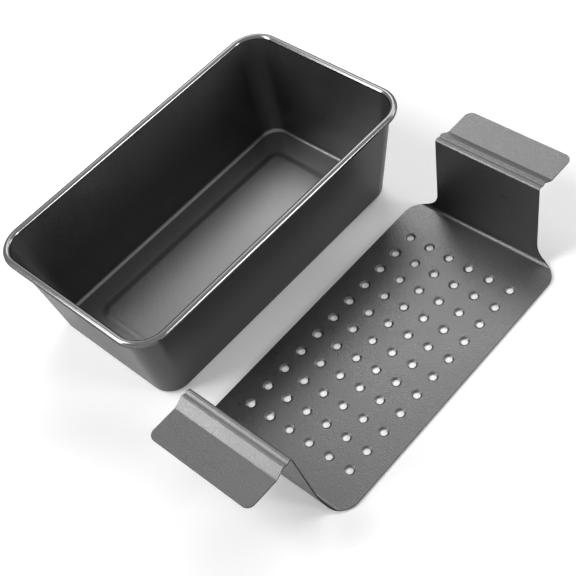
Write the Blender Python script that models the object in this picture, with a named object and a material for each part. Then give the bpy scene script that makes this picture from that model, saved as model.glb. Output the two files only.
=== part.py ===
"""Meatloaf pan: a drawn sheet-steel loaf pan with a wired rim, and a perforated insert.

The insert hangs in the pan on two bent handles that hook over the end rims. It keeps the loaf out
of the fat and lifts it out. Here it stands beside the pan, on the same table.

Units are metres, +Z is up and +X runs along the pan. The origin is on the table, in the middle
of the pair.
"""

import math

import bmesh
import bpy
from mathutils import Vector

# Pan, over the rolled rim
PAN_LENGTH = 0.2417
PAN_WIDTH = 0.1406
PAN_HEIGHT = 0.0769
RIM_CORNER_RADIUS = 0.0216

# Pan walls and floor, on the food side
PAN_SHEET = 0.0008
END_DRAFT = math.radians(8.0)
SIDE_DRAFT = math.radians(8.7)
FLOOR_CORNER_RADIUS = 0.0140
FLOOR_BEND_RADIUS = 0.0022

# Raised panel in the middle of the pan's floor, which rests on the margin round it
PANEL_MARGIN = 0.0163
PANEL_SLOPE_WIDTH = 0.0066
PANEL_RISE = 0.0009
PANEL_CORNER_RADIUS = 0.0040

# Rolled rim and the wire in it
BEAD_DIAMETER = 0.0047
LIP_GAP = 0.0004
WIRE_DIAMETER = 0.0024

# Insert, and how it hangs in the pan
INSERT_SHEET = 0.0008
FAT_SPACE = 0.0149
SIDE_CLEARANCE = 0.0003
BEAD_CLEARANCE = 0.0030
HOOK_CLEARANCE = 0.0003

# Insert bends, on the food side
WALL_BEND_RADIUS = 0.0034
HOOK_BEND_RADIUS = 0.0028
HOOK_DROP = 0.0042
HOOK_SLOPE = math.radians(38.0)

# Insert outline
TRAY_CORNER_RADIUS = 0.0135
NECK_RADIUS = 0.0140
GRIP_LENGTH = 0.0222
GRIP_WIDTH = 0.0774
GRIP_CORNER_RADIUS = 0.0050

# Drain holes, each in a dimple pressed down from the food side
HOLE_PITCH = 0.01565
HOLE_DIAMETER = 0.0043
DIMPLE_DIAMETER = 0.0074
DIMPLE_DEPTH = 0.0006
HOLE_END_MARGIN = 0.0225
HOLE_SIDE_MARGIN = 0.0130

# Where the insert stands
INSERT_OFFSET = 0.1355
INSERT_SHIFT = 0.0006
INSERT_TURN = math.radians(0.6)

# Mesh fineness
CORNER_STEPS = 9
PANEL_SLOPE_STEPS = 4
FLOOR_BEND_STEPS = 5
CURL_STEPS = 15
WIRE_SIDES = 10
SHEET_BEND_STEPS = 5
OUTLINE_STEPS = 6
CELL_SIDE_STEPS = 3
LEAST_STEP = 0.0001
ROUND_ANGLE = math.radians(40.0)
DIMPLE_ANGLE = math.radians(19.0)


def clear_scene():
    for old in list(bpy.data.objects):
        bpy.data.objects.remove(old, do_unlink=True)


def make_material(name, grey, roughness, metallic):
    finish = bpy.data.materials.new(name)
    finish.use_nodes = True
    shader = finish.node_tree.nodes["Principled BSDF"]
    shader.inputs["Base Color"].default_value = (grey, grey, grey, 1.0)
    shader.inputs["Roughness"].default_value = roughness
    shader.inputs["Metallic"].default_value = metallic
    return finish


def make_object(name, mesh, finish, smooth_angle):
    data = bpy.data.meshes.new(name)
    mesh.to_mesh(data)
    mesh.free()
    data.materials.append(finish)
    data.shade_smooth()
    data.set_sharp_from_angle(angle=smooth_angle)
    part = bpy.data.objects.new(name, data)
    bpy.context.collection.objects.link(part)
    return part


def steps(first, last, count):
    """Evenly spaced values from first to last, both included."""
    return [first + (last - first) * k / count for k in range(count + 1)]


def rounded_rectangle(half_length, half_width, radius, height):
    """Points of a level rounded rectangle, counter-clockwise from above."""
    points = []
    quarter = math.radians(90)
    for k, (x_side, y_side) in enumerate(((1, 1), (-1, 1), (-1, -1), (1, -1))):
        x = x_side * (half_length - radius)
        y = y_side * (half_width - radius)
        for turn in steps(quarter * k, quarter * (k + 1), CORNER_STEPS):
            points.append(Vector((x + radius * math.cos(turn), y + radius * math.sin(turn), height)))
    return points


def rim_ring(out, up):
    """A ring along the rim, out from the middle line of the bead and up from it."""
    inset = BEAD_DIAMETER / 2 - out
    height = PAN_HEIGHT - BEAD_DIAMETER / 2 + up
    corner = RIM_CORNER_RADIUS - inset
    return rounded_rectangle(PAN_LENGTH / 2 - inset, PAN_WIDTH / 2 - inset, corner, height)


def mean_draft():
    return (END_DRAFT + SIDE_DRAFT) / 2


def throat():
    """Where the food side of the walls meets the bead: inset from the pan's outline, and height."""
    bead = BEAD_DIAMETER / 2
    inset = bead * (1 + math.cos(mean_draft()))
    return inset, PAN_HEIGHT - bead + bead * math.sin(mean_draft())


def pan_inside(height):
    """Half length, half width and corner radius between the walls, at a height above the table."""
    inset, top = throat()
    drop = top - height
    corner = RIM_CORNER_RADIUS - inset
    corner += (FLOOR_CORNER_RADIUS - corner) * drop / (top - PAN_SHEET)
    half_length = PAN_LENGTH / 2 - inset - drop * math.tan(END_DRAFT)
    half_width = PAN_WIDTH / 2 - inset - drop * math.tan(SIDE_DRAFT)
    return half_length, half_width, corner


def panel_rings(depth):
    """Rings down the slope round the raised panel, at a depth into the sheet from its food side."""
    rings = []
    half_length, half_width, _ = pan_inside(PAN_SHEET)
    for share in steps(0, 1, PANEL_SLOPE_STEPS):
        out = PANEL_SLOPE_WIDTH * share
        inset = PANEL_MARGIN + PANEL_SLOPE_WIDTH - out
        height = PAN_SHEET - depth + PANEL_RISE * (1 + math.cos(math.radians(180) * share)) / 2
        corner = PANEL_CORNER_RADIUS + out
        rings.append(rounded_rectangle(half_length - inset, half_width - inset, corner, height))
    return rings


def pan_rings(depth):
    """Rings from the panel to the lip of the curl, at a depth into the sheet from its food side."""
    rings = panel_rings(depth)
    sweep = math.radians(90) - mean_draft()
    tangent = FLOOR_BEND_RADIUS * math.tan(sweep / 2)
    radius = FLOOR_BEND_RADIUS + depth
    for turn in steps(0, sweep, FLOOR_BEND_STEPS):
        height = PAN_SHEET + FLOOR_BEND_RADIUS - radius * math.cos(turn)
        half_length, half_width, corner = pan_inside(height)
        out = radius * math.sin(turn) - tangent - (height - PAN_SHEET) * math.tan(mean_draft())
        rings.append(rounded_rectangle(half_length + out, half_width + out, corner + out, height))

    bead = BEAD_DIAMETER / 2
    lip = math.radians(180) - math.acos((bead - PAN_SHEET - LIP_GAP) / bead)
    radius = bead - depth
    for turn in steps(math.radians(180) - mean_draft(), -lip, CURL_STEPS):
        rings.append(rim_ring(radius * math.cos(turn), radius * math.sin(turn)))
    return rings


def add_ring(mesh, points):
    return [mesh.verts.new(point) for point in points]


def join_rings(mesh, first, second):
    for k in range(len(first)):
        mesh.faces.new((first[k - 1], first[k], second[k], second[k - 1]))


def make_pan_shell(finish):
    """The pan's sheet: floor, walls and the curl of the rim, open along the slot beneath the curl."""
    mesh = bmesh.new()
    food_side = [add_ring(mesh, ring) for ring in pan_rings(0)]
    outside = [add_ring(mesh, ring) for ring in pan_rings(PAN_SHEET)]
    for side in (food_side, outside):
        mesh.faces.new(side[0])
        for lower, upper in zip(side, side[1:]):
            join_rings(mesh, lower, upper)
    join_rings(mesh, food_side[-1], outside[-1])
    bmesh.ops.recalc_face_normals(mesh, faces=mesh.faces)
    return make_object("pan_shell", mesh, finish, ROUND_ANGLE)


def make_rim_wire(finish):
    """The steel wire that the rim is rolled round, one closed ring."""
    mesh = bmesh.new()
    radius = WIRE_DIAMETER / 2
    rings = []
    for side in range(WIRE_SIDES):
        turn = math.radians(360) * side / WIRE_SIDES
        rings.append(add_ring(mesh, rim_ring(radius * math.cos(turn), radius * math.sin(turn))))
    for k in range(WIRE_SIDES):
        join_rings(mesh, rings[k - 1], rings[k])
    bmesh.ops.recalc_face_normals(mesh, faces=mesh.faces)
    return make_object("rim_wire", mesh, finish, ROUND_ANGLE)


def tray_height():
    """Height of the insert's floor, food side, when it stands on the rims of its dimples."""
    slope = math.atan2(DIMPLE_DEPTH, (DIMPLE_DIAMETER - HOLE_DIAMETER) / 2)
    return DIMPLE_DEPTH + INSERT_SHEET * math.cos(slope)


def hung_height():
    """Height above the table of the insert's floor, food side, when it hangs in the pan."""
    return PAN_SHEET + FAT_SPACE + INSERT_SHEET


def section_corners():
    """Corners of the insert's section, food side, from the middle of its floor to a grip's tip."""
    floor = tray_height()
    hook = floor + PAN_HEIGHT + INSERT_SHEET - hung_height()
    wall_top = PAN_LENGTH / 2 - BEAD_DIAMETER - BEAD_CLEARANCE - INSERT_SHEET
    wall_foot = wall_top - (hook - floor) * math.tan(END_DRAFT)
    over_bead = (BEAD_DIAMETER / 2 + INSERT_SHEET) * math.tan(HOOK_SLOPE / 2)
    step = PAN_LENGTH / 2 - BEAD_DIAMETER / 2 + over_bead + HOOK_CLEARANCE / math.sin(HOOK_SLOPE)
    grip = step + HOOK_DROP / math.tan(HOOK_SLOPE)
    return [
        Vector((0, floor)),
        Vector((wall_foot, floor)),
        Vector((wall_top, hook)),
        Vector((step, hook)),
        Vector((grip, hook - HOOK_DROP)),
        Vector((grip + GRIP_LENGTH, hook - HOOK_DROP)),
    ]


def ahead(heading):
    return Vector((math.cos(heading), math.sin(heading)))


def left(heading):
    return Vector((-math.sin(heading), math.cos(heading)))


class Section:
    """A chain of straight runs and bends in a plane, read by the distance along it."""

    def __init__(self, corners, radii):
        self.pieces = []
        self.bends = []
        self.length = 0
        place = corners[0]
        headings = [math.atan2(*(b - a).yx) for a, b in zip(corners, corners[1:])]
        for corner, heading, leaving, radius in zip(corners[1:], headings, headings[1:], radii):
            turn = leaving - heading
            tangent = radius * math.tan(abs(turn) / 2)
            bend_start = corner - ahead(heading) * tangent
            self.pieces.append((self.length, place, heading, 0))
            self.length += (bend_start - place).length
            self.pieces.append((self.length, bend_start, heading, math.copysign(1 / radius, turn)))
            self.bends.append((self.length, self.length + radius * abs(turn)))
            self.length += radius * abs(turn)
            place = corner + ahead(leaving) * tangent
        self.pieces.append((self.length, place, headings[-1], 0))
        self.length += (corners[-1] - place).length

    def at(self, along):
        start, place, heading, curvature = [piece for piece in self.pieces if piece[0] <= along][-1]
        if not curvature:
            return place + ahead(heading) * (along - start)
        return place + (left(heading) - left(heading + curvature * (along - start))) / curvature


def insert_section():
    radii = (WALL_BEND_RADIUS, HOOK_BEND_RADIUS, HOOK_BEND_RADIUS, HOOK_BEND_RADIUS)
    return Section(section_corners(), radii)


def tray_half_width():
    return pan_inside(hung_height() - INSERT_SHEET)[1] - SIDE_CLEARANCE


def insert_edge(section):
    """The insert's edge, flattened: distance along the section and half width there."""
    tray = tray_half_width()
    neck = GRIP_WIDTH / 2
    turn = math.acos(1 - (tray - neck) / (TRAY_CORNER_RADIUS + NECK_RADIUS))
    meet = section.bends[0][1]
    corner_start = meet - TRAY_CORNER_RADIUS * math.sin(turn)
    neck_start = meet + NECK_RADIUS * math.sin(turn)
    tip_start = section.length - GRIP_CORNER_RADIUS
    edge = []
    for angle in steps(0, turn, OUTLINE_STEPS):
        out = TRAY_CORNER_RADIUS * (1 - math.cos(angle))
        edge.append((corner_start + TRAY_CORNER_RADIUS * math.sin(angle), tray - out))
    for angle in steps(turn, 0, OUTLINE_STEPS)[1:]:
        out = NECK_RADIUS * (1 - math.cos(angle))
        edge.append((neck_start - NECK_RADIUS * math.sin(angle), neck + out))
    for angle in steps(0, math.radians(90), OUTLINE_STEPS):
        out = GRIP_CORNER_RADIUS * (1 - math.cos(angle))
        edge.append((tip_start + GRIP_CORNER_RADIUS * math.sin(angle), neck - out))
    return edge


def insert_rows(section):
    """Rows across the insert from the floor's corners to the tip: distance along and half width."""
    edge = insert_edge(section)
    rows = list(edge)
    for bend_start, bend_end in section.bends:
        for along in steps(bend_start, bend_end, SHEET_BEND_STEPS):
            before = [point for point in edge if point[0] <= along][-1]
            after = [point for point in edge if point[0] > along][0]
            share = (along - before[0]) / (after[0] - before[0])
            rows.append((along, before[1] + (after[1] - before[1]) * share))
    rows.sort()
    kept = rows[:1]
    for row in rows[1:]:
        if row[0] - kept[-1][0] > LEAST_STEP:
            kept.append(row)
    return kept


def holes_across(half_span, margin):
    return int(2 * (half_span - margin) / HOLE_PITCH) + 1


def add_holed_floor(mesh, along_count, across_count, height):
    """The perforated field: a square cell for each hole. Returns its vertices by lattice place."""
    spacing = HOLE_PITCH / CELL_SIDE_STEPS
    lattice = {}
    sides = 4 * CELL_SIDE_STEPS

    def corner_of_cells(u, v):
        if (u, v) not in lattice:
            x = (u - along_count * CELL_SIDE_STEPS / 2) * spacing
            y = (v - across_count * CELL_SIDE_STEPS / 2) * spacing
            lattice[u, v] = mesh.verts.new((x, y, height))
        return lattice[u, v]

    for i in range(along_count):
        for j in range(across_count):
            x = (i - (along_count - 1) / 2) * HOLE_PITCH
            y = (j - (across_count - 1) / 2) * HOLE_PITCH
            centre = Vector((x, y, height))
            u, v = i * CELL_SIDE_STEPS, j * CELL_SIDE_STEPS
            around = [(u + CELL_SIDE_STEPS, v + k) for k in range(CELL_SIDE_STEPS)]
            around += [(u + CELL_SIDE_STEPS - k, v + CELL_SIDE_STEPS) for k in range(CELL_SIDE_STEPS)]
            around += [(u, v + CELL_SIDE_STEPS - k) for k in range(CELL_SIDE_STEPS)]
            around += [(u + k, v) for k in range(CELL_SIDE_STEPS)]
            rings = [[corner_of_cells(*place) for place in around]]
            for radius, drop in ((DIMPLE_DIAMETER / 2, 0), (HOLE_DIAMETER / 2, DIMPLE_DEPTH)):
                turns = [math.radians(360) * k / sides - math.radians(45) for k in range(sides)]
                ring = [Vector((radius * math.cos(t), radius * math.sin(t), -drop)) for t in turns]
                rings.append(add_ring(mesh, [centre + point for point in ring]))
            for outer, inner in zip(rings, rings[1:]):
                join_rings(mesh, outer, inner)
    return lattice


def make_insert_tray(finish):
    """The insert, one bent sheet: perforated floor, end walls, hooks and grips.

    Its food side is modelled, and thickened downwards.
    """
    mesh = bmesh.new()
    section = insert_section()
    corners = section_corners()
    floor = tray_height()
    tray = tray_half_width()
    along_count = holes_across(corners[1].x, HOLE_END_MARGIN)
    across_count = holes_across(tray, HOLE_SIDE_MARGIN)
    lattice = add_holed_floor(mesh, along_count, across_count, floor)
    last_u, last_v = along_count * CELL_SIDE_STEPS, across_count * CELL_SIDE_STEPS
    field_end = along_count * HOLE_PITCH / 2

    edge_points = {}
    for x_side in (1, -1):
        for y_side in (1, -1):
            edge_points[x_side, y_side] = mesh.verts.new((x_side * field_end, y_side * tray, floor))
    for y_side, v in ((1, last_v), (-1, 0)):
        inner = [lattice[u, v] for u in range(last_u + 1)]
        mesh.faces.new(inner + [edge_points[1, y_side], edge_points[-1, y_side]])

    for x_side, u in ((1, last_u), (-1, 0)):
        field = [lattice[u, v] for v in range(last_v + 1)]
        previous = [edge_points[x_side, -1]] + field + [edge_points[x_side, 1]]
        for along, half_width in insert_rows(section):
            x, z = section.at(along)
            row = [mesh.verts.new((x_side * x, y_side * half_width, z)) for y_side in (-1, 1)]
            mesh.faces.new(previous + row[::-1])
            previous = row

    bmesh.ops.recalc_face_normals(mesh, faces=mesh.faces)
    mesh.faces.ensure_lookup_table()
    if mesh.faces[0].normal.z < 0:
        bmesh.ops.reverse_faces(mesh, faces=mesh.faces)
    tray = make_object("insert_tray", mesh, finish, DIMPLE_ANGLE)
    sheet = tray.modifiers.new("sheet", "SOLIDIFY")
    sheet.thickness = INSERT_SHEET
    sheet.offset = -1
    sheet.use_even_offset = True
    sheet.use_quality_normals = True
    return tray


def place_insert(tray):
    """Stands the insert beside the pan. It lifts straight up from its own middle."""
    place = bpy.data.objects.new("insert_place", None)
    bpy.context.collection.objects.link(place)
    place.location = (-INSERT_SHIFT, -INSERT_OFFSET, 0)
    place.rotation_euler = (0, 0, INSERT_TURN)
    tray.parent = place
    return place


def centre_pair(parts, placed):
    """Moves what is placed on the table so that the parts are in the middle of it."""
    graph = bpy.context.evaluated_depsgraph_get()
    points = []
    for part in parts:
        solid = part.evaluated_get(graph)
        points += [solid.matrix_world @ vertex.co for vertex in solid.to_mesh().vertices]
        solid.to_mesh_clear()
    middle = Vector((0, 0, 0))
    for axis in (0, 1):
        middle[axis] = (min(p[axis] for p in points) + max(p[axis] for p in points)) / 2
    for item in placed:
        item.location -= middle


def main():
    clear_scene()
    shell = make_pan_shell(make_material("pan coating", 0.055, 0.30, 0.6))
    wire = make_rim_wire(make_material("rim wire", 0.45, 0.35, 1.0))
    tray = make_insert_tray(make_material("insert coating", 0.075, 0.38, 0.6))
    place = place_insert(tray)
    centre_pair((shell, wire, tray), (shell, wire, place))


main()
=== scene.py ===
"""Looks of the meatloaf pan: smoother sheet metal, dark coatings and a white studio.

Units are metres and +Z is up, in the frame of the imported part. The pan's outside and both pieces'
places are read from the frame. The other sizes are those of the part's source, except the drafts
of the insert's walls, the bends at both floors, the drain holes and the groove along each hook,
which follow the photo more closely.
"""

import math

import bmesh
import bpy
from mathutils import Matrix, Vector

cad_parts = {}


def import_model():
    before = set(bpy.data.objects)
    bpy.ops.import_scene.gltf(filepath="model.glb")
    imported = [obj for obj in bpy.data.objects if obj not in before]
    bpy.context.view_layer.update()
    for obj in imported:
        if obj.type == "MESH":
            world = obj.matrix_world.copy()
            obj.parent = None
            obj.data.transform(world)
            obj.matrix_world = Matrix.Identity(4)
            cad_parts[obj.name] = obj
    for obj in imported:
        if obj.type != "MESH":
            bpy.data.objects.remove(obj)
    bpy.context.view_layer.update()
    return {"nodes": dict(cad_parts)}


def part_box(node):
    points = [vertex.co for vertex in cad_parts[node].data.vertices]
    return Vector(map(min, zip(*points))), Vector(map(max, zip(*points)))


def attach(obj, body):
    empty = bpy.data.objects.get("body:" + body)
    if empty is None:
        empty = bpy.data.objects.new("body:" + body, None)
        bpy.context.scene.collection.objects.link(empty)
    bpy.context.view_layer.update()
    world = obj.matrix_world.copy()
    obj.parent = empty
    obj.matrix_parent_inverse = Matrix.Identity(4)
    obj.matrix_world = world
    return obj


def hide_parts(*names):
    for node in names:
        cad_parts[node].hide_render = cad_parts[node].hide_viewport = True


# Pan
RIM_CORNER_RADIUS = 0.0216
PAN_SHEET = 0.0008
END_DRAFT = math.radians(8.0)
SIDE_DRAFT = math.radians(8.7)
FLOOR_CORNER_RADIUS = 0.0140
FLOOR_BEND_RADIUS = 0.0030
PANEL_MARGIN = 0.0163
PANEL_SLOPE_WIDTH = 0.0066
PANEL_RISE = 0.0009
PANEL_CORNER_RADIUS = 0.0040
BEAD_DIAMETER = 0.0047
LIP_GAP = 0.0004

# Insert
INSERT_SHEET = 0.0008
FAT_SPACE = 0.0149
SIDE_CLEARANCE = 0.0003
BEAD_CLEARANCE = 0.0030
HOOK_CLEARANCE = 0.0003
WALL_BEND_RADIUS = 0.0028
HOOK_BEND_RADIUS = 0.0028
HOOK_DROP = 0.0042
HOOK_SLOPE = math.radians(38.0)
FAR_WALL_DRAFT = math.radians(5.0)
NEAR_WALL_DRAFT = math.radians(8.4)
RIDGE_RADIUS = 0.0020
GROOVE_RADIUS = 0.0013
GROOVE_FALL = math.radians(-25.0)
GROOVE_RISE = math.radians(28.0)
BEAD_BEND_RADIUS = 0.0020
TRAY_CORNER_RADIUS = 0.0135
CORNER_LEAD = 0.0017
NECK_RADIUS = 0.0140
GRIP_LENGTH = 0.0222
GRIP_WIDTH = 0.0774
GRIP_CORNER_RADIUS = 0.0050
INSERT_TURN = math.radians(0.6)
SHEET_EDGE_ROUNDING = 0.00035

# Drain holes and their dimples. The insert stands on the dimples of the CAD model.
HOLES_ALONG = 11
HOLES_ACROSS = 6
HOLE_PITCH = 0.01565
CAD_HOLE_DIAMETER = 0.0043
CAD_DIMPLE_DIAMETER = 0.0074
HOLE_DIAMETER = 0.0046
DIMPLE_DIAMETER = 0.0078
DIMPLE_DEPTH = 0.0006

# Mesh
CORNER_STEPS = 24
PANEL_SLOPE_STEPS = 10
FLOOR_BEND_STEPS = 10
CURL_STEPS = 40
SHEET_BEND_STEPS = 12
OUTLINE_STEPS = 14
CELL_SIDE_STEPS = 7
DIMPLE_STEPS = 6
LEAST_STEP = 0.00008
EDGE_ANGLE = math.radians(50.0)
EDGE_SEGMENTS = 2
FLAT_FACE_WEIGHT = 100

# Camera, seen from the middle of the pan's base
CAMERA_PLACE = Vector((-0.29003, -0.46661, 0.61309))
CAMERA_AZIMUTH = math.radians(-35.21)
CAMERA_ELEVATION = math.radians(50.60)
CAMERA_ROLL = math.radians(-16.06)
CAMERA_LENS = 76.41
CAMERA_SENSOR = 36.0

# Materials. Slots of the pan's sheet: 0 is the food side.
RIM_SLOT = 1
# Slot 2 is a darker, less reflective copy of the food side's coating: painted shade on the outer
# walls and under the bead.
OUTSIDE_PAINTED_SHADE_SLOT = 2
# Faces of the bead that face lower than this take the darker outside coating: painted shade under
# the bead.
UNDER_BEAD_SHADE_NORMAL = -0.25
GRAIN_DETAIL = 3.0
GRAIN_ROUGHNESS = 0.6
GRAIN_SHARE = 0.7
GRAIN_DEPTH = 0.00016
CLOUD_SCALE = 28.0
CLOUD_DETAIL = 4.0
TONE_RANGE = (0.35, 0.65)
GLOSS_RANGE = (0.3, 0.7)
COOL_TINT = 1.03
METAL_GRAIN_DEPTH = 0.00003

# Coatings: tone and roughness from least to most, refractive index, the grain's scale and strength
COATINGS = {
    "pan_satin": ((0.006, 0.018), (0.27, 0.41), 2.0, 1000.0, 0.55),
    # The outside coating is the food side's made darker and less reflective: painted shade on the
    # outer walls.
    "pan_outside_painted_shade": ((0.005, 0.013), (0.27, 0.39), 1.42, 1000.0, 0.55),
    "insert_grained": ((0.008, 0.024), (0.24, 0.44), 1.8, 1050.0, 1.0),
    # The insert's edge coating is near black and dull: a painted shade outline along the sheet's
    # cut and rounded edges.
    "insert_edge": ((0.004, 0.007), (0.40, 0.50), 1.25, 650.0, 0.3),
}

# Floor: it is seen brighter from FLOOR_NEAR outward and white from FLOOR_FAR on
FLOOR_SIZE = 6.0
FLOOR_GREY = 0.92
FLOOR_ROUGHNESS = 0.9
FLOOR_GLOW = 0.15
FLOOR_NEAR = 0.45
FLOOR_FAR = 1.20

# Light
WHITE = (1.0, 1.0, 1.0, 1.0)
WORLD_LIGHT = 0.1
LAMP_DISTANCE = 1.6

# Lamps: azimuth and elevation in degrees, size in metres, power in watts
LAMPS = (
    ("left_high", 130, 54, 0.60, 9.0),
    ("left", 144, 42, 0.72, 4.0),
    ("left_low", 150, 22, 0.62, 13.5),
    ("front_low", 292, 14, 0.55, 11.5),
    ("right_low", 334, 20, 0.62, 5.0),
    ("right", 0, 42, 0.72, 4.5),
    ("back", 38, 45, 0.66, 4.2),
    ("back_low", 51, 20, 0.62, 1.5),
    ("back_high", 55, 51, 0.60, 2.2),
    ("top", 30, 66, 0.75, 0.9),
)


def steps(first, last, count):
    """Evenly spaced values from first to last, both included."""
    return [first + (last - first) * k / count for k in range(count + 1)]


def add_ring(mesh, points):
    return [mesh.verts.new(point) for point in points]


def join_rings(mesh, first, second):
    for k in range(len(first)):
        mesh.faces.new((first[k - 1], first[k], second[k], second[k - 1]))


def make_piece(name, mesh, place):
    """A smooth piece of the object, with its vertices moved into the frame."""
    mesh.transform(place)
    data = bpy.data.meshes.new(name)
    mesh.to_mesh(data)
    mesh.free()
    data.shade_smooth()
    piece = bpy.data.objects.new(name, data)
    bpy.context.collection.objects.link(piece)
    return piece


class PanShape:
    """The pan's rings, level rounded rectangles from the floor's panel to the lip of the curl."""

    def __init__(self, low, high):
        self.length, self.width, self.height = high - low
        self.middle = Vector(((low.x + high.x) / 2, (low.y + high.y) / 2, low.z))
        self.bead = BEAD_DIAMETER / 2
        self.draft = (END_DRAFT + SIDE_DRAFT) / 2
        self.throat_inset = self.bead * (1 + math.cos(self.draft))
        self.throat_height = self.height - self.bead + self.bead * math.sin(self.draft)

    def ring(self, half_length, half_width, radius, height):
        points = []
        quarter = math.radians(90)
        for k, (x_side, y_side) in enumerate(((1, 1), (-1, 1), (-1, -1), (1, -1))):
            x = x_side * (half_length - radius)
            y = y_side * (half_width - radius)
            for turn in steps(quarter * k, quarter * (k + 1), CORNER_STEPS):
                along, across = radius * math.cos(turn), radius * math.sin(turn)
                points.append(Vector((x + along, y + across, height)))
        return points

    def rim_ring(self, out, up):
        inset = self.bead - out
        height = self.height - self.bead + up
        corner = RIM_CORNER_RADIUS - inset
        return self.ring(self.length / 2 - inset, self.width / 2 - inset, corner, height)

    def inside(self, height):
        """Half length, half width and corner radius between the walls at a height."""
        drop = self.throat_height - height
        corner = RIM_CORNER_RADIUS - self.throat_inset
        corner += (FLOOR_CORNER_RADIUS - corner) * drop / (self.throat_height - PAN_SHEET)
        half_length = self.length / 2 - self.throat_inset - drop * math.tan(END_DRAFT)
        half_width = self.width / 2 - self.throat_inset - drop * math.tan(SIDE_DRAFT)
        return half_length, half_width, corner

    def panel_rings(self, depth):
        rings = []
        half_length, half_width, _ = self.inside(PAN_SHEET)
        for share in steps(0, 1, PANEL_SLOPE_STEPS):
            out = PANEL_SLOPE_WIDTH * share
            inset = PANEL_MARGIN + PANEL_SLOPE_WIDTH - out
            height = PAN_SHEET - depth + PANEL_RISE * (1 + math.cos(math.radians(180) * share)) / 2
            corner = PANEL_CORNER_RADIUS + out
            rings.append(self.ring(half_length - inset, half_width - inset, corner, height))
        return rings

    def rings(self, depth):
        rings = self.panel_rings(depth)
        sweep = math.radians(90) - self.draft
        tangent = FLOOR_BEND_RADIUS * math.tan(sweep / 2)
        radius = FLOOR_BEND_RADIUS + depth
        for turn in steps(0, sweep, FLOOR_BEND_STEPS):
            height = PAN_SHEET + FLOOR_BEND_RADIUS - radius * math.cos(turn)
            half_length, half_width, corner = self.inside(height)
            out = radius * math.sin(turn) - tangent - (height - PAN_SHEET) * math.tan(self.draft)
            rings.append(self.ring(half_length + out, half_width + out, corner + out, height))
        lip = math.radians(180) - math.acos((self.bead - PAN_SHEET - LIP_GAP) / self.bead)
        radius = self.bead - depth
        for turn in steps(math.radians(180) - self.draft, -lip, CURL_STEPS):
            rings.append(self.rim_ring(radius * math.cos(turn), radius * math.sin(turn)))
        return rings


def make_pan_shell(shape):
    mesh = bmesh.new()
    food_side = [add_ring(mesh, ring) for ring in shape.rings(0)]
    outside = [add_ring(mesh, ring) for ring in shape.rings(PAN_SHEET)]
    for side in (food_side, outside):
        mesh.faces.new(side[0])
        for lower, upper in zip(side, side[1:]):
            join_rings(mesh, lower, upper)
    join_rings(mesh, food_side[-1], outside[-1])
    bmesh.ops.recalc_face_normals(mesh, faces=mesh.faces)
    curl_start = shape.middle.z + shape.height - BEAD_DIAMETER
    piece = make_piece("pan_sheet", mesh, Matrix.Translation(shape.middle))
    # Downward faces, on the bead's underside and on the outer walls, take the darker outside
    # coating: painted shade.
    for face in piece.data.polygons:
        if face.center.z > curl_start and face.normal.z > UNDER_BEAD_SHADE_NORMAL:
            face.material_index = RIM_SLOT
        elif face.normal.z < 0:
            face.material_index = OUTSIDE_PAINTED_SHADE_SLOT
    piece.data.set_sharp_from_angle(angle=EDGE_ANGLE)
    weigh_normals(piece)
    return piece


def weigh_normals(piece):
    """Keeps large flat faces flat where they run into a bend."""
    normals = piece.modifiers.new("normals", "WEIGHTED_NORMAL")
    normals.keep_sharp = True
    normals.weight = FLAT_FACE_WEIGHT


def hung_height():
    """Height above the table of the insert's floor, food side, when it hangs in the pan."""
    return PAN_SHEET + FAT_SPACE + INSERT_SHEET


def tray_height():
    """Height of the insert's floor, food side, when it stands on the rims of its dimples."""
    slope = math.atan2(DIMPLE_DEPTH, (CAD_DIMPLE_DIAMETER - CAD_HOLE_DIAMETER) / 2)
    return DIMPLE_DEPTH + INSERT_SHEET * math.cos(slope)


def section_corners(shape, wall_draft):
    """Corners of the insert's section, food side, from the middle of its floor to a grip's tip.

    A shallow groove runs beside the bend over the bead, on the side of the wall.
    """
    floor = tray_height()
    hook = floor + shape.height + INSERT_SHEET - hung_height()
    wall_top = shape.length / 2 - BEAD_DIAMETER - BEAD_CLEARANCE - INSERT_SHEET
    wall_foot = wall_top - (hook - floor) * math.tan(wall_draft)
    over_bead = (shape.bead + INSERT_SHEET) * math.tan(HOOK_SLOPE / 2)
    step = shape.length / 2 - shape.bead + over_bead + HOOK_CLEARANCE / math.sin(HOOK_SLOPE)
    grip = Vector((step + HOOK_DROP / math.tan(HOOK_SLOPE), hook - HOOK_DROP))

    up_wall = math.radians(90) - wall_draft
    ridge_inset = RIDGE_RADIUS * (1 / math.cos(wall_draft) - math.tan(wall_draft))
    ridge = Vector((wall_top + ridge_inset, hook - RIDGE_RADIUS))
    into_groove = ridge + left(GROOVE_FALL) * RIDGE_RADIUS
    over = Vector((shape.length / 2 - shape.bead, hook - BEAD_BEND_RADIUS))
    out_of_groove = over + left(GROOVE_RISE) * BEAD_BEND_RADIUS
    slope = math.atan2(*(grip - over).yx) - math.asin(BEAD_BEND_RADIUS / (grip - over).length)
    return [
        Vector((0, floor)),
        Vector((wall_foot, floor)),
        crossing(Vector((wall_top, hook)), up_wall, into_groove, GROOVE_FALL),
        crossing(into_groove, GROOVE_FALL, out_of_groove, GROOVE_RISE),
        crossing(out_of_groove, GROOVE_RISE, grip, slope),
        grip,
        grip + Vector((GRIP_LENGTH, 0)),
    ]


def ahead(heading):
    return Vector((math.cos(heading), math.sin(heading)))


def left(heading):
    return Vector((-math.sin(heading), math.cos(heading)))


def crossing(first, heading, second, other_heading):
    """Where a line through the first point meets one through the second."""
    across = left(other_heading)
    return first + ahead(heading) * (second - first).dot(across) / ahead(heading).dot(across)


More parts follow.
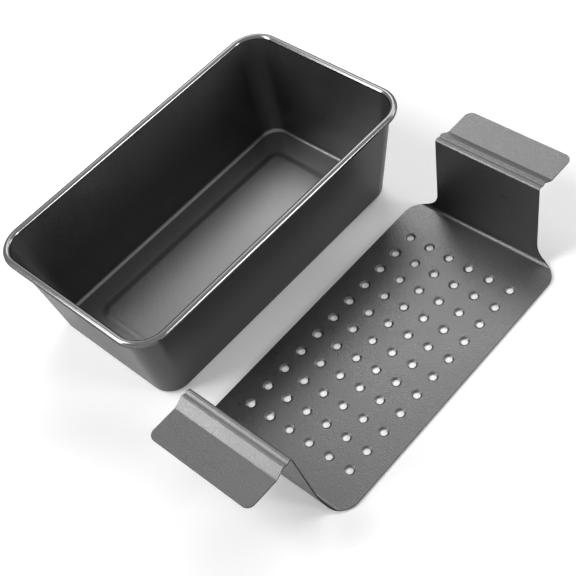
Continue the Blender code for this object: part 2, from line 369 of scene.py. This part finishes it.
class Section:
    """A chain of straight runs and bends in a plane, read by the distance along it."""

    def __init__(self, corners, radii):
        self.pieces = []
        self.bends = []
        self.length = 0
        place = corners[0]
        headings = [math.atan2(*(b - a).yx) for a, b in zip(corners, corners[1:])]
        for corner, heading, leaving, radius in zip(corners[1:], headings, headings[1:], radii):
            turn = leaving - heading
            tangent = radius * math.tan(abs(turn) / 2)
            bend_start = corner - ahead(heading) * tangent
            self.pieces.append((self.length, place, heading, 0))
            self.length += (bend_start - place).length
            self.pieces.append((self.length, bend_start, heading, math.copysign(1 / radius, turn)))
            self.bends.append((self.length, self.length + radius * abs(turn)))
            self.length += radius * abs(turn)
            place = corner + ahead(leaving) * tangent
        self.pieces.append((self.length, place, headings[-1], 0))
        self.length += (corners[-1] - place).length

    def at(self, along):
        start, place, heading, curvature = [piece for piece in self.pieces if piece[0] <= along][-1]
        if not curvature:
            return place + ahead(heading) * (along - start)
        return place + (left(heading) - left(heading + curvature * (along - start))) / curvature


def insert_edge(section, tray):
    """The insert's edge, flattened: distance along the section and half width there."""
    neck = GRIP_WIDTH / 2
    turn = math.acos(1 - (tray - neck) / (TRAY_CORNER_RADIUS + NECK_RADIUS))
    meet = section.bends[0][1] - CORNER_LEAD
    corner_start = meet - TRAY_CORNER_RADIUS * math.sin(turn)
    neck_start = meet + NECK_RADIUS * math.sin(turn)
    tip_start = section.length - GRIP_CORNER_RADIUS
    edge = []
    for angle in steps(0, turn, OUTLINE_STEPS):
        out = TRAY_CORNER_RADIUS * (1 - math.cos(angle))
        edge.append((corner_start + TRAY_CORNER_RADIUS * math.sin(angle), tray - out))
    for angle in steps(turn, 0, OUTLINE_STEPS)[1:]:
        out = NECK_RADIUS * (1 - math.cos(angle))
        edge.append((neck_start - NECK_RADIUS * math.sin(angle), neck + out))
    for angle in steps(0, math.radians(90), OUTLINE_STEPS):
        out = GRIP_CORNER_RADIUS * (1 - math.cos(angle))
        edge.append((tip_start + GRIP_CORNER_RADIUS * math.sin(angle), neck - out))
    return edge


def insert_rows(section, tray):
    """Rows across the insert from the floor's corners to the tip: distance along and half width."""
    edge = insert_edge(section, tray)
    rows = list(edge)
    for bend_start, bend_end in section.bends:
        for along in steps(bend_start, bend_end, SHEET_BEND_STEPS):
            before = [point for point in edge if point[0] <= along][-1]
            after = [point for point in edge if point[0] > along][0]
            share = (along - before[0]) / (after[0] - before[0])
            rows.append((along, before[1] + (after[1] - before[1]) * share))
    rows.sort()
    kept = rows[:1]
    for row in rows[1:]:
        if row[0] - kept[-1][0] > LEAST_STEP:
            kept.append(row)
    return kept


def dimple_rings(centre, sides):
    """Rings from the flat floor down into a dimple, steepest at the hole's edge."""
    rings = []
    first_corner = math.radians(-45)
    turns = [first_corner + math.radians(360) * k / sides for k in range(sides)]
    for share in steps(0, 1, DIMPLE_STEPS):
        radius = (DIMPLE_DIAMETER + (HOLE_DIAMETER - DIMPLE_DIAMETER) * share) / 2
        drop = DIMPLE_DEPTH * (1 - math.cos(math.radians(90) * share))
        points = [Vector((radius * math.cos(t), radius * math.sin(t), -drop)) for t in turns]
        rings.append([centre + point for point in points])
    return rings


def add_holed_floor(mesh, height):
    """The perforated field: a square cell for each hole. Returns its vertices by lattice place."""
    spacing = HOLE_PITCH / CELL_SIDE_STEPS
    lattice = {}
    side = CELL_SIDE_STEPS

    def corner_of_cells(u, v):
        if (u, v) not in lattice:
            x = (u - HOLES_ALONG * side / 2) * spacing
            y = (v - HOLES_ACROSS * side / 2) * spacing
            lattice[u, v] = mesh.verts.new((x, y, height))
        return lattice[u, v]

    for i in range(HOLES_ALONG):
        for j in range(HOLES_ACROSS):
            x = (i - (HOLES_ALONG - 1) / 2) * HOLE_PITCH
            y = (j - (HOLES_ACROSS - 1) / 2) * HOLE_PITCH
            u, v = i * side, j * side
            around = [(u + side, v + k) for k in range(side)]
            around += [(u + side - k, v + side) for k in range(side)]
            around += [(u, v + side - k) for k in range(side)]
            around += [(u + k, v) for k in range(side)]
            rings = [[corner_of_cells(*place) for place in around]]
            for points in dimple_rings(Vector((x, y, height)), len(around)):
                rings.append(add_ring(mesh, points))
            for outer, inner in zip(rings, rings[1:]):
                join_rings(mesh, outer, inner)
    return lattice


def make_insert(shape, place):
    mesh = bmesh.new()
    radii = (WALL_BEND_RADIUS, RIDGE_RADIUS, GROOVE_RADIUS, BEAD_BEND_RADIUS, HOOK_BEND_RADIUS)
    floor = tray_height()
    tray = shape.inside(hung_height() - INSERT_SHEET)[1] - SIDE_CLEARANCE
    lattice = add_holed_floor(mesh, floor)
    last_u, last_v = HOLES_ALONG * CELL_SIDE_STEPS, HOLES_ACROSS * CELL_SIDE_STEPS
    field_end = HOLES_ALONG * HOLE_PITCH / 2

    edge_points = {}
    for x_side in (1, -1):
        for y_side in (1, -1):
            edge_points[x_side, y_side] = mesh.verts.new((x_side * field_end, y_side * tray, floor))
    for y_side, v in ((1, last_v), (-1, 0)):
        inner = [lattice[u, v] for u in range(last_u + 1)]
        mesh.faces.new(inner + [edge_points[1, y_side], edge_points[-1, y_side]])
    for x_side, u, wall_draft in ((1, last_u, FAR_WALL_DRAFT), (-1, 0, NEAR_WALL_DRAFT)):
        section = Section(section_corners(shape, wall_draft), radii)
        field = [lattice[u, v] for v in range(last_v + 1)]
        previous = [edge_points[x_side, -1]] + field + [edge_points[x_side, 1]]
        for along, half_width in insert_rows(section, tray):
            x, z = section.at(along)
            row = [mesh.verts.new((x_side * x, y_side * half_width, z)) for y_side in (-1, 1)]
            mesh.faces.new(previous + row[::-1])
            previous = row

    bmesh.ops.recalc_face_normals(mesh, faces=mesh.faces)
    mesh.faces.ensure_lookup_table()
    if mesh.faces[0].normal.z < 0:
        bmesh.ops.reverse_faces(mesh, faces=mesh.faces)
    piece = make_piece("insert_sheet", mesh, place)
    sheet = piece.modifiers.new("sheet", "SOLIDIFY")
    sheet.thickness = INSERT_SHEET
    sheet.offset = -1
    sheet.use_even_offset = True
    sheet.use_quality_normals = True
    # Cut edges and their rounding take material 1, the near-black edge coating: a painted shade
    # outline.
    sheet.material_offset_rim = 1
    rounding = piece.modifiers.new("edges", "BEVEL")
    rounding.width = SHEET_EDGE_ROUNDING
    rounding.segments = EDGE_SEGMENTS
    rounding.limit_method = "ANGLE"
    rounding.angle_limit = EDGE_ANGLE
    rounding.material = 1
    weigh_normals(piece)
    return piece


class Nodes:
    """Short calls for building a material's node tree."""

    def __init__(self, name):
        self.material = bpy.data.materials.new(name)
        self.material.use_nodes = True
        self.tree = self.material.node_tree
        self.shader = self.tree.nodes["Principled BSDF"]
        self.place = self.tree.nodes.new("ShaderNodeTexCoord").outputs["Object"]

    def node(self, kind, **values):
        node = self.tree.nodes.new(kind)
        for key, value in values.items():
            setattr(node, key, value)
        return node

    def link(self, output, socket):
        self.tree.links.new(output, socket)

    def noise(self, scale, detail, roughness=0.5):
        node = self.node("ShaderNodeTexNoise")
        node.inputs["Scale"].default_value = scale
        node.inputs["Detail"].default_value = detail
        node.inputs["Roughness"].default_value = roughness
        self.link(self.place, node.inputs["Vector"])
        return node.outputs["Fac"]

    def ranged(self, value, low, high, least, most):
        node = self.node("ShaderNodeMapRange")
        node.inputs["From Min"].default_value = low
        node.inputs["From Max"].default_value = high
        node.inputs["To Min"].default_value = least
        node.inputs["To Max"].default_value = most
        self.link(value, node.inputs["Value"])
        return node.outputs["Result"]

    def math(self, operation, first, second):
        node = self.node("ShaderNodeMath", operation=operation)
        for value, socket in ((first, node.inputs[0]), (second, node.inputs[1])):
            if isinstance(value, float):
                socket.default_value = value
            else:
                self.link(value, socket)
        return node.outputs["Value"]

    def tones(self, value, dark, light):
        node = self.node("ShaderNodeValToRGB")
        node.color_ramp.elements[0].color = (*dark, 1.0)
        node.color_ramp.elements[1].color = (*light, 1.0)
        self.link(value, node.inputs["Fac"])
        return node.outputs["Color"]

    def bump(self, height, strength, distance):
        node = self.node("ShaderNodeBump")
        node.inputs["Strength"].default_value = strength
        node.inputs["Distance"].default_value = distance
        self.link(height, node.inputs["Height"])
        self.link(node.outputs["Normal"], self.shader.inputs["Normal"])


def coating(name):
    """A dark non-stick coating: a fine grain over slow changes of tone and gloss."""
    tone, gloss, index, grain_scale, grain_bump = COATINGS[name]
    nodes = Nodes(name)
    grain = nodes.noise(grain_scale, GRAIN_DETAIL, GRAIN_ROUGHNESS)
    cloud = nodes.noise(CLOUD_SCALE, CLOUD_DETAIL)
    grain_part = nodes.math("MULTIPLY", grain, GRAIN_SHARE)
    mix = nodes.math("ADD", grain_part, nodes.math("MULTIPLY", cloud, 1.0 - GRAIN_SHARE))
    dark, light = ((value, value, value * COOL_TINT) for value in tone)
    shade = nodes.ranged(mix, *TONE_RANGE, 0.0, 1.0)
    nodes.link(nodes.tones(shade, dark, light), nodes.shader.inputs["Base Color"])
    nodes.link(nodes.ranged(mix, *GLOSS_RANGE, *gloss), nodes.shader.inputs["Roughness"])
    nodes.shader.inputs["Metallic"].default_value = 0.0
    nodes.shader.inputs["IOR"].default_value = index
    nodes.bump(grain, grain_bump, GRAIN_DEPTH)
    return nodes.material


def metal(name, grain_scale, dark, light, gloss, grain_bump, **grain_kind):
    """Metal with a fine grain, which varies its tone and its roughness."""
    nodes = Nodes(name)
    grain = nodes.noise(grain_scale, **grain_kind)
    nodes.link(nodes.tones(grain, dark, light), nodes.shader.inputs["Base Color"])
    nodes.link(nodes.ranged(grain, *GLOSS_RANGE, *gloss), nodes.shader.inputs["Roughness"])
    nodes.shader.inputs["Metallic"].default_value = 1.0
    nodes.bump(grain, grain_bump, METAL_GRAIN_DEPTH)
    return nodes


def rim_gloss():
    """The coating drawn tight over the rim's bead: smoother, and dark at a glance."""
    dark, light = (0.12, 0.12, 0.124), (0.17, 0.17, 0.175)
    kind = {"detail": GRAIN_DETAIL, "roughness": GRAIN_ROUGHNESS}
    nodes = metal("rim_gloss", 950.0, dark, light, (0.12, 0.17), 0.1, **kind)
    nodes.shader.inputs["Specular Tint"].default_value = (0.3, 0.3, 0.3, 1.0)
    return nodes.material


def wire_steel():
    """The rim's wire: plain drawn steel."""
    dark, light = (0.38, 0.38, 0.39), (0.52, 0.52, 0.53)
    return metal("wire_steel", 900.0, dark, light, (0.28, 0.42), 0.2, detail=2.0).material


def make_camera(pan_middle):
    back = Vector((
        math.sin(CAMERA_AZIMUTH) * math.cos(CAMERA_ELEVATION),
        -math.cos(CAMERA_AZIMUTH) * math.cos(CAMERA_ELEVATION),
        math.sin(CAMERA_ELEVATION),
    ))
    right = Vector((math.cos(CAMERA_AZIMUTH), math.sin(CAMERA_AZIMUTH), 0))
    up = back.cross(right)
    turned_right = right * math.cos(CAMERA_ROLL) + up * math.sin(CAMERA_ROLL)
    turned_up = up * math.cos(CAMERA_ROLL) - right * math.sin(CAMERA_ROLL)
    camera = bpy.data.objects.new("camera", bpy.data.cameras.new("camera"))
    camera.data.lens = CAMERA_LENS
    camera.data.sensor_width = CAMERA_SENSOR
    camera.matrix_world = Matrix((turned_right, turned_up, back)).transposed().to_4x4()
    camera.matrix_world.translation = pan_middle + CAMERA_PLACE
    bpy.context.collection.objects.link(camera)
    bpy.context.scene.camera = camera


def seen_in_gloss(tree, plain, seen):
    """A strength with one value for the light it gives and one for how it looks, also in gloss."""
    rays = tree.nodes.new("ShaderNodeLightPath").outputs
    sight = rays["Is Camera Ray"]
    for ray in ("Is Glossy Ray", "Is Transmission Ray"):
        either = tree.nodes.new("ShaderNodeMath")
        either.operation = "MAXIMUM"
        tree.links.new(sight, either.inputs[0])
        tree.links.new(rays[ray], either.inputs[1])
        sight = either.outputs["Value"]
    strength = tree.nodes.new("ShaderNodeMapRange")
    strength.inputs["To Min"].default_value = plain
    strength.inputs["To Max"].default_value = seen
    tree.links.new(sight, strength.inputs["Value"])
    return strength.outputs["Result"]


def make_floor():
    """A pale floor that keeps the object's shadow and runs out into white."""
    mesh = bmesh.new()
    bmesh.ops.create_grid(mesh, x_segments=1, y_segments=1, size=FLOOR_SIZE / 2)
    data = bpy.data.meshes.new("floor")
    mesh.to_mesh(data)
    mesh.free()
    floor = bpy.data.objects.new("floor", data)
    bpy.context.collection.objects.link(floor)
    nodes = Nodes("floor_white")
    nodes.shader.inputs["Base Color"].default_value = (FLOOR_GREY, FLOOR_GREY, FLOOR_GREY, 1.0)
    nodes.shader.inputs["Roughness"].default_value = FLOOR_ROUGHNESS
    nodes.shader.inputs["Specular IOR Level"].default_value = 0.0
    nodes.shader.inputs["Emission Color"].default_value = WHITE
    away = nodes.node("ShaderNodeVectorMath", operation="LENGTH")
    nodes.link(nodes.place, away.inputs[0])
    glow = nodes.ranged(away.outputs["Value"], FLOOR_NEAR, FLOOR_FAR, FLOOR_GLOW, 1.0)
    seen = seen_in_gloss(nodes.tree, 0.0, 1.0)
    nodes.link(nodes.math("MULTIPLY", glow, seen), nodes.shader.inputs["Emission Strength"])
    data.materials.append(nodes.material)


def add_lamp(name, azimuth, elevation, size, power):
    """A round lamp that faces the object from a compass direction, 0 along +X and 90 along +Y."""
    data = bpy.data.lights.new(name, "AREA")
    data.shape = "DISK"
    data.size = size
    data.energy = power
    lamp = bpy.data.objects.new(name, data)
    bpy.context.collection.objects.link(lamp)
    turn, rise = math.radians(azimuth), math.radians(elevation)
    level = Vector((math.cos(turn), math.sin(turn), 0)) * math.cos(rise)
    toward = level + Vector((0, 0, math.sin(rise)))
    lamp.location = toward * LAMP_DISTANCE
    lamp.rotation_mode = "QUATERNION"
    lamp.rotation_quaternion = toward.to_track_quat("Z", "Y")


def light_studio():
    world = bpy.data.worlds.new("studio")
    bpy.context.scene.world = world
    world.use_nodes = True
    background = world.node_tree.nodes["Background"]
    background.inputs["Color"].default_value = WHITE
    strength = seen_in_gloss(world.node_tree, WORLD_LIGHT, 1.0)
    world.node_tree.links.new(strength, background.inputs["Strength"])
    for lamp in LAMPS:
        add_lamp(*lamp)


def main():
    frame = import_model()
    shape = PanShape(*(Vector(corner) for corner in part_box("pan_shell")))
    insert_low, insert_high = (Vector(corner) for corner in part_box("insert_tray"))
    insert_middle = (insert_low + insert_high) / 2
    insert_middle.z = insert_low.z
    insert_place = Matrix.Translation(insert_middle) @ Matrix.Rotation(INSERT_TURN, 4, "Z")

    pan = make_pan_shell(shape)
    for material in (coating("pan_satin"), rim_gloss(), coating("pan_outside_painted_shade")):
        pan.data.materials.append(material)
    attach(pan, "pan")
    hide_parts("pan_shell")

    insert = make_insert(shape, insert_place)
    for material in (coating("insert_grained"), coating("insert_edge")):
        insert.data.materials.append(material)
    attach(insert, "insert")
    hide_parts("insert_tray")

    wire = frame["nodes"]["rim_wire"]
    wire.data.materials.clear()
    wire.data.materials.append(wire_steel())

    make_floor()
    make_camera(shape.middle)
    light_studio()
    bpy.context.scene.view_settings.view_transform = "Standard"


main()
